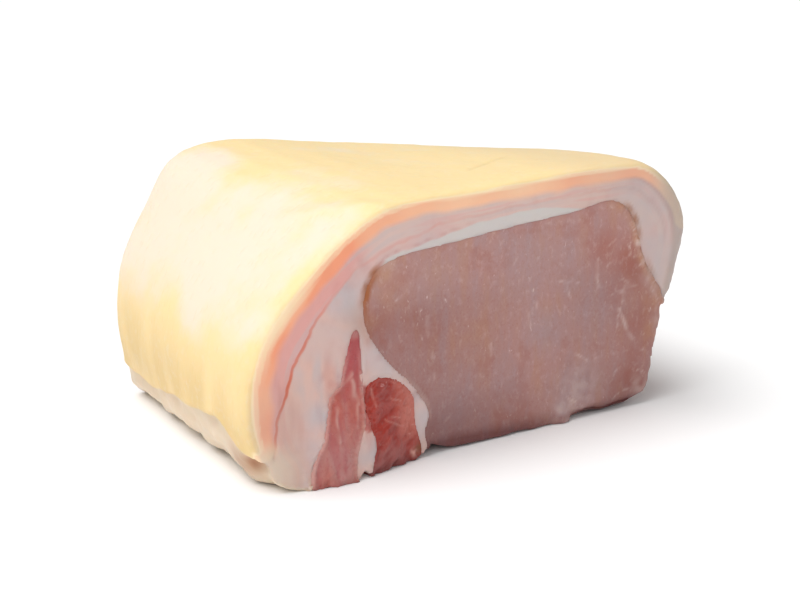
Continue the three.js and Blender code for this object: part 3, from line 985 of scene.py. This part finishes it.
class LOIN_OT_small_muscles(Operator):
    """Make the dark side muscle and the red flank muscle"""

    bl_idname = "loin.small_muscles"
    bl_label = "Small muscles"

    def execute(self, context):
        self.make_side(context.scene.loin_side)
        self.make_flank(context.scene.loin_flank)
        return {"FINISHED"}

    def make_side(self, look):
        """The side muscle: coarse wet bundles with grooves between them."""
        side = Surface("side_muscle_lean", "side_muscle", look.face_size, LEAN_SMOOTHING)
        x, z = side.x, side.z
        rim = gap_to(cad_tree("fat_cap"), side.places)
        inside = ease(rim, 0, 1.5)
        slanted = side.places @ SIDE_TURN.T
        wrinkles = lumps(slanted, 2.0, 32, (2.5, 4, 1))
        fine_wrinkles = lumps(slanted, 0.9, 36, (2, 4, 1))
        threads = side.threaded(SIDE_THREADS)
        relief = side.closing(rim) + inside * (0.7 * ease(rim, 0.5, 5) + side.uneven(SIDE_SWELLS))
        relief += inside * (0.55 * wrinkles + 0.22 * fine_wrinkles + THREAD_HEIGHT * threads)
        relief += ease(z, 5, 1) * (side.uneven(SIDE_FOOT_LUMPS) - FOOT_CUT_BACK)
        side.raise_by(relief)

        tissue = ease(np.abs(lumps(slanted, 3.5, 33, (1.6, 4, 1))), 0.05, 0.0)
        tissue *= ease(side.lumps(6, 37), 0.1, 0.4)
        spot = side.marked(SIDE_PALE_MARKS) * side.patchy(0.6, 1.5, 1.5, 55)
        side.store("pale", np.maximum.reduce([spot, 0.6 * tissue, 0.8 * threads]))
        # Redder and darker in the hollows of the wrinkles: painted shade
        side.store("red", 0.5 * ease(wrinkles, 0.1, -0.4))
        side.store("warm", ease(x + 3 * side.lumps(8, 39), -37, -29) * ease(z, 5, 13))
        side.store("grey", 0.9 * ease(z + 3 * side.lumps(5, 48), 11, 4) * ease(x, -29, -35))
        side.store("brown", side.marked(SIDE_BROWN_MARKS))
        side.store("shade", 0.5 * ease(z, 4, 0))
        lean = raw_lean("raw pork dark lean", look, roughness=0.18, wet=0.6, fat_flecks=0.12)
        dress(side.piece, "side_muscle", lean)

    def make_flank(self, look):
        """The flank muscle: bundles that run up the wedge, with threads of fat between them."""
        flank = Surface("flank_muscle_lean", "flank_lean", look.face_size, LEAN_SMOOTHING)
        x, z = flank.x, flank.z
        rim = gap_to(cad_tree("fat_cap"), flank.places)
        inside = ease(rim, 0, 1.5)
        tip = ease(z, 43.5, 46)
        bundles = flank.lumps(2.4, 38, (1, 4, 4))
        threads = flank.threaded(FLANK_THREADS)
        relief = flank.closing(rim) + inside * (0.3 * ease(rim, 0.5, 4) + flank.uneven(FLANK_SWELLS))
        relief += inside * (0.3 * bundles + flank.uneven(FLANK_STRANDS)) + THREAD_HEIGHT * threads
        relief += ease(z, 5, 1) * (flank.uneven(FLANK_FOOT_LUMPS) - FOOT_CUT_BACK)
        relief += 0.5 * tip * ease(flank.facing_cut, 0.6, 0.9)
        flank.raise_by(relief)

        pale_rim = 0.45 * ease(rim, 1.4, 0.1) * ease(z, 44, 34)
        # Redder up the narrow tip, and in the hollows between the bundles as painted shade
        red = np.maximum(0.9 * ease(z, 24, 38), 0.4 * ease(bundles, 0.0, -0.4))
        flank.store("pale", np.maximum(0.5 * threads, pale_rim))
        flank.store("red", red * (1 - 0.8 * tip))
        flank.store("warm", flank.patchy(0.2, 1, 6, 47, (1, 2, 2)) * ease(z, 34, 26))
        flank.store("grey", np.maximum(0.8 * ease(z, 24, 8), 0.7 * tip))
        flank.store("brown", 0.6 * bell(x + 47.5, 1.5) * bell(z - 12, 5))
        flank.store("shade", 0.4 * ease(z, 3, 0))
        lean = raw_lean("raw pork flank lean", look, roughness=0.24, wet=0.5, fat_flecks=0.15)
        dress(flank.piece, "flank_lean", lean)


class LOIN_OT_stage(Operator):
    """Lay the floor, and set up the light and the camera"""

    bl_idname = "loin.stage"
    bl_label = "Stage"

    def execute(self, context):
        scene = context.scene
        look = scene.loin_stage
        self.lay_floor(scene, look)
        self.set_lights(scene, look)
        view = bpy.data.cameras.new("camera")
        view.lens = look.lens
        view.sensor_width = SENSOR_WIDTH
        camera = bpy.data.objects.new("camera", view)
        camera.location = CAMERA_PLACE
        camera.rotation_euler = CAMERA_DIRECTION.to_track_quat("-Z", "Y").to_euler()
        scene.collection.objects.link(camera)
        scene.camera = camera
        scene.view_settings.view_transform = "Standard"
        return {"FINISHED"}

    def lay_floor(self, scene, look):
        """A wide sheet of paper just under the joint."""
        sides = ((-1, -1), (1, -1), (1, 1), (-1, 1))
        corners = [(x * FLOOR_HALF, y * FLOOR_HALF, -FLOOR_DROP) for x, y in sides]
        mesh = bpy.data.meshes.new("floor")
        mesh.from_pydata(corners, [], [(0, 1, 2, 3)])
        mesh.materials.append(studio_paper(look))
        floor = bpy.data.objects.new("floor", mesh)
        scene.collection.objects.link(floor)

    def set_lights(self, scene, look):
        """Even light all round, a wide key over the flank, and two lights on the near cut end."""
        world = bpy.data.worlds.new("studio")
        world.use_nodes = True
        sky = world.node_tree.nodes["Background"]
        sky.inputs["Color"].default_value = (1, 1, 1, 1)
        sky.inputs["Strength"].default_value = look.sky
        scene.world = world

        key = bpy.data.lights.new("key", "SUN")
        key.energy = look.key
        key.angle = look.key_spread
        front = bpy.data.lights.new("front", "AREA")
        front.energy = look.front
        front.size = FRONT_WIDTH
        glint = bpy.data.lights.new("glint", "AREA")
        glint.energy = look.glint
        glint.size = GLINT_WIDTH
        for lamp, place in ((key, KEY_PLACE), (front, FRONT_PLACE), (glint, GLINT_PLACE)):
            holder = bpy.data.objects.new(lamp.name, lamp)
            holder.location = place
            holder.rotation_euler = (LIGHT_AIM - holder.location).to_track_quat("-Z", "Y").to_euler()
            scene.collection.objects.link(holder)


class LOIN_PT_sidebar(Panel):
    """The settings and steps of the pork loin"""

    bl_label = "Pork loin"
    bl_idname = "LOIN_PT_sidebar"
    bl_space_type = "VIEW_3D"
    bl_region_type = "UI"
    bl_category = "Pork loin"

    def draw(self, context):
        for group, settings, operator in STEPS:
            box = self.layout.box()
            look = getattr(context.scene, group)
            for name in settings.__annotations__:
                box.prop(look, name)
            if operator:
                box.operator(operator.bl_idname)


# Groups of settings in the scene, with the operator that uses each. The small muscles have two groups.
STEPS = (
    ("loin_fat", FatSettings, LOIN_OT_rind_and_fat),
    ("loin_eye", EyeSettings, LOIN_OT_eye_muscle),
    ("loin_side", SideSettings, None),
    ("loin_flank", FlankSettings, LOIN_OT_small_muscles),
    ("loin_stage", StageSettings, LOIN_OT_stage),
)


def register():
    for group, settings, operator in STEPS:
        bpy.utils.register_class(settings)
        setattr(bpy.types.Scene, group, PointerProperty(type=settings))
        if operator:
            bpy.utils.register_class(operator)
    bpy.utils.register_class(LOIN_PT_sidebar)


def unregister():
    bpy.utils.unregister_class(LOIN_PT_sidebar)
    for group, settings, operator in reversed(STEPS):
        if operator:
            bpy.utils.unregister_class(operator)
        delattr(bpy.types.Scene, group)
        bpy.utils.unregister_class(settings)


def main():
    """Makes the whole loin and its stage."""
    register()
    bpy.ops.loin.rind_and_fat()
    bpy.ops.loin.eye_muscle()
    bpy.ops.loin.small_muscles()
    bpy.ops.loin.stage()


if __name__ == "__main__":
    main()
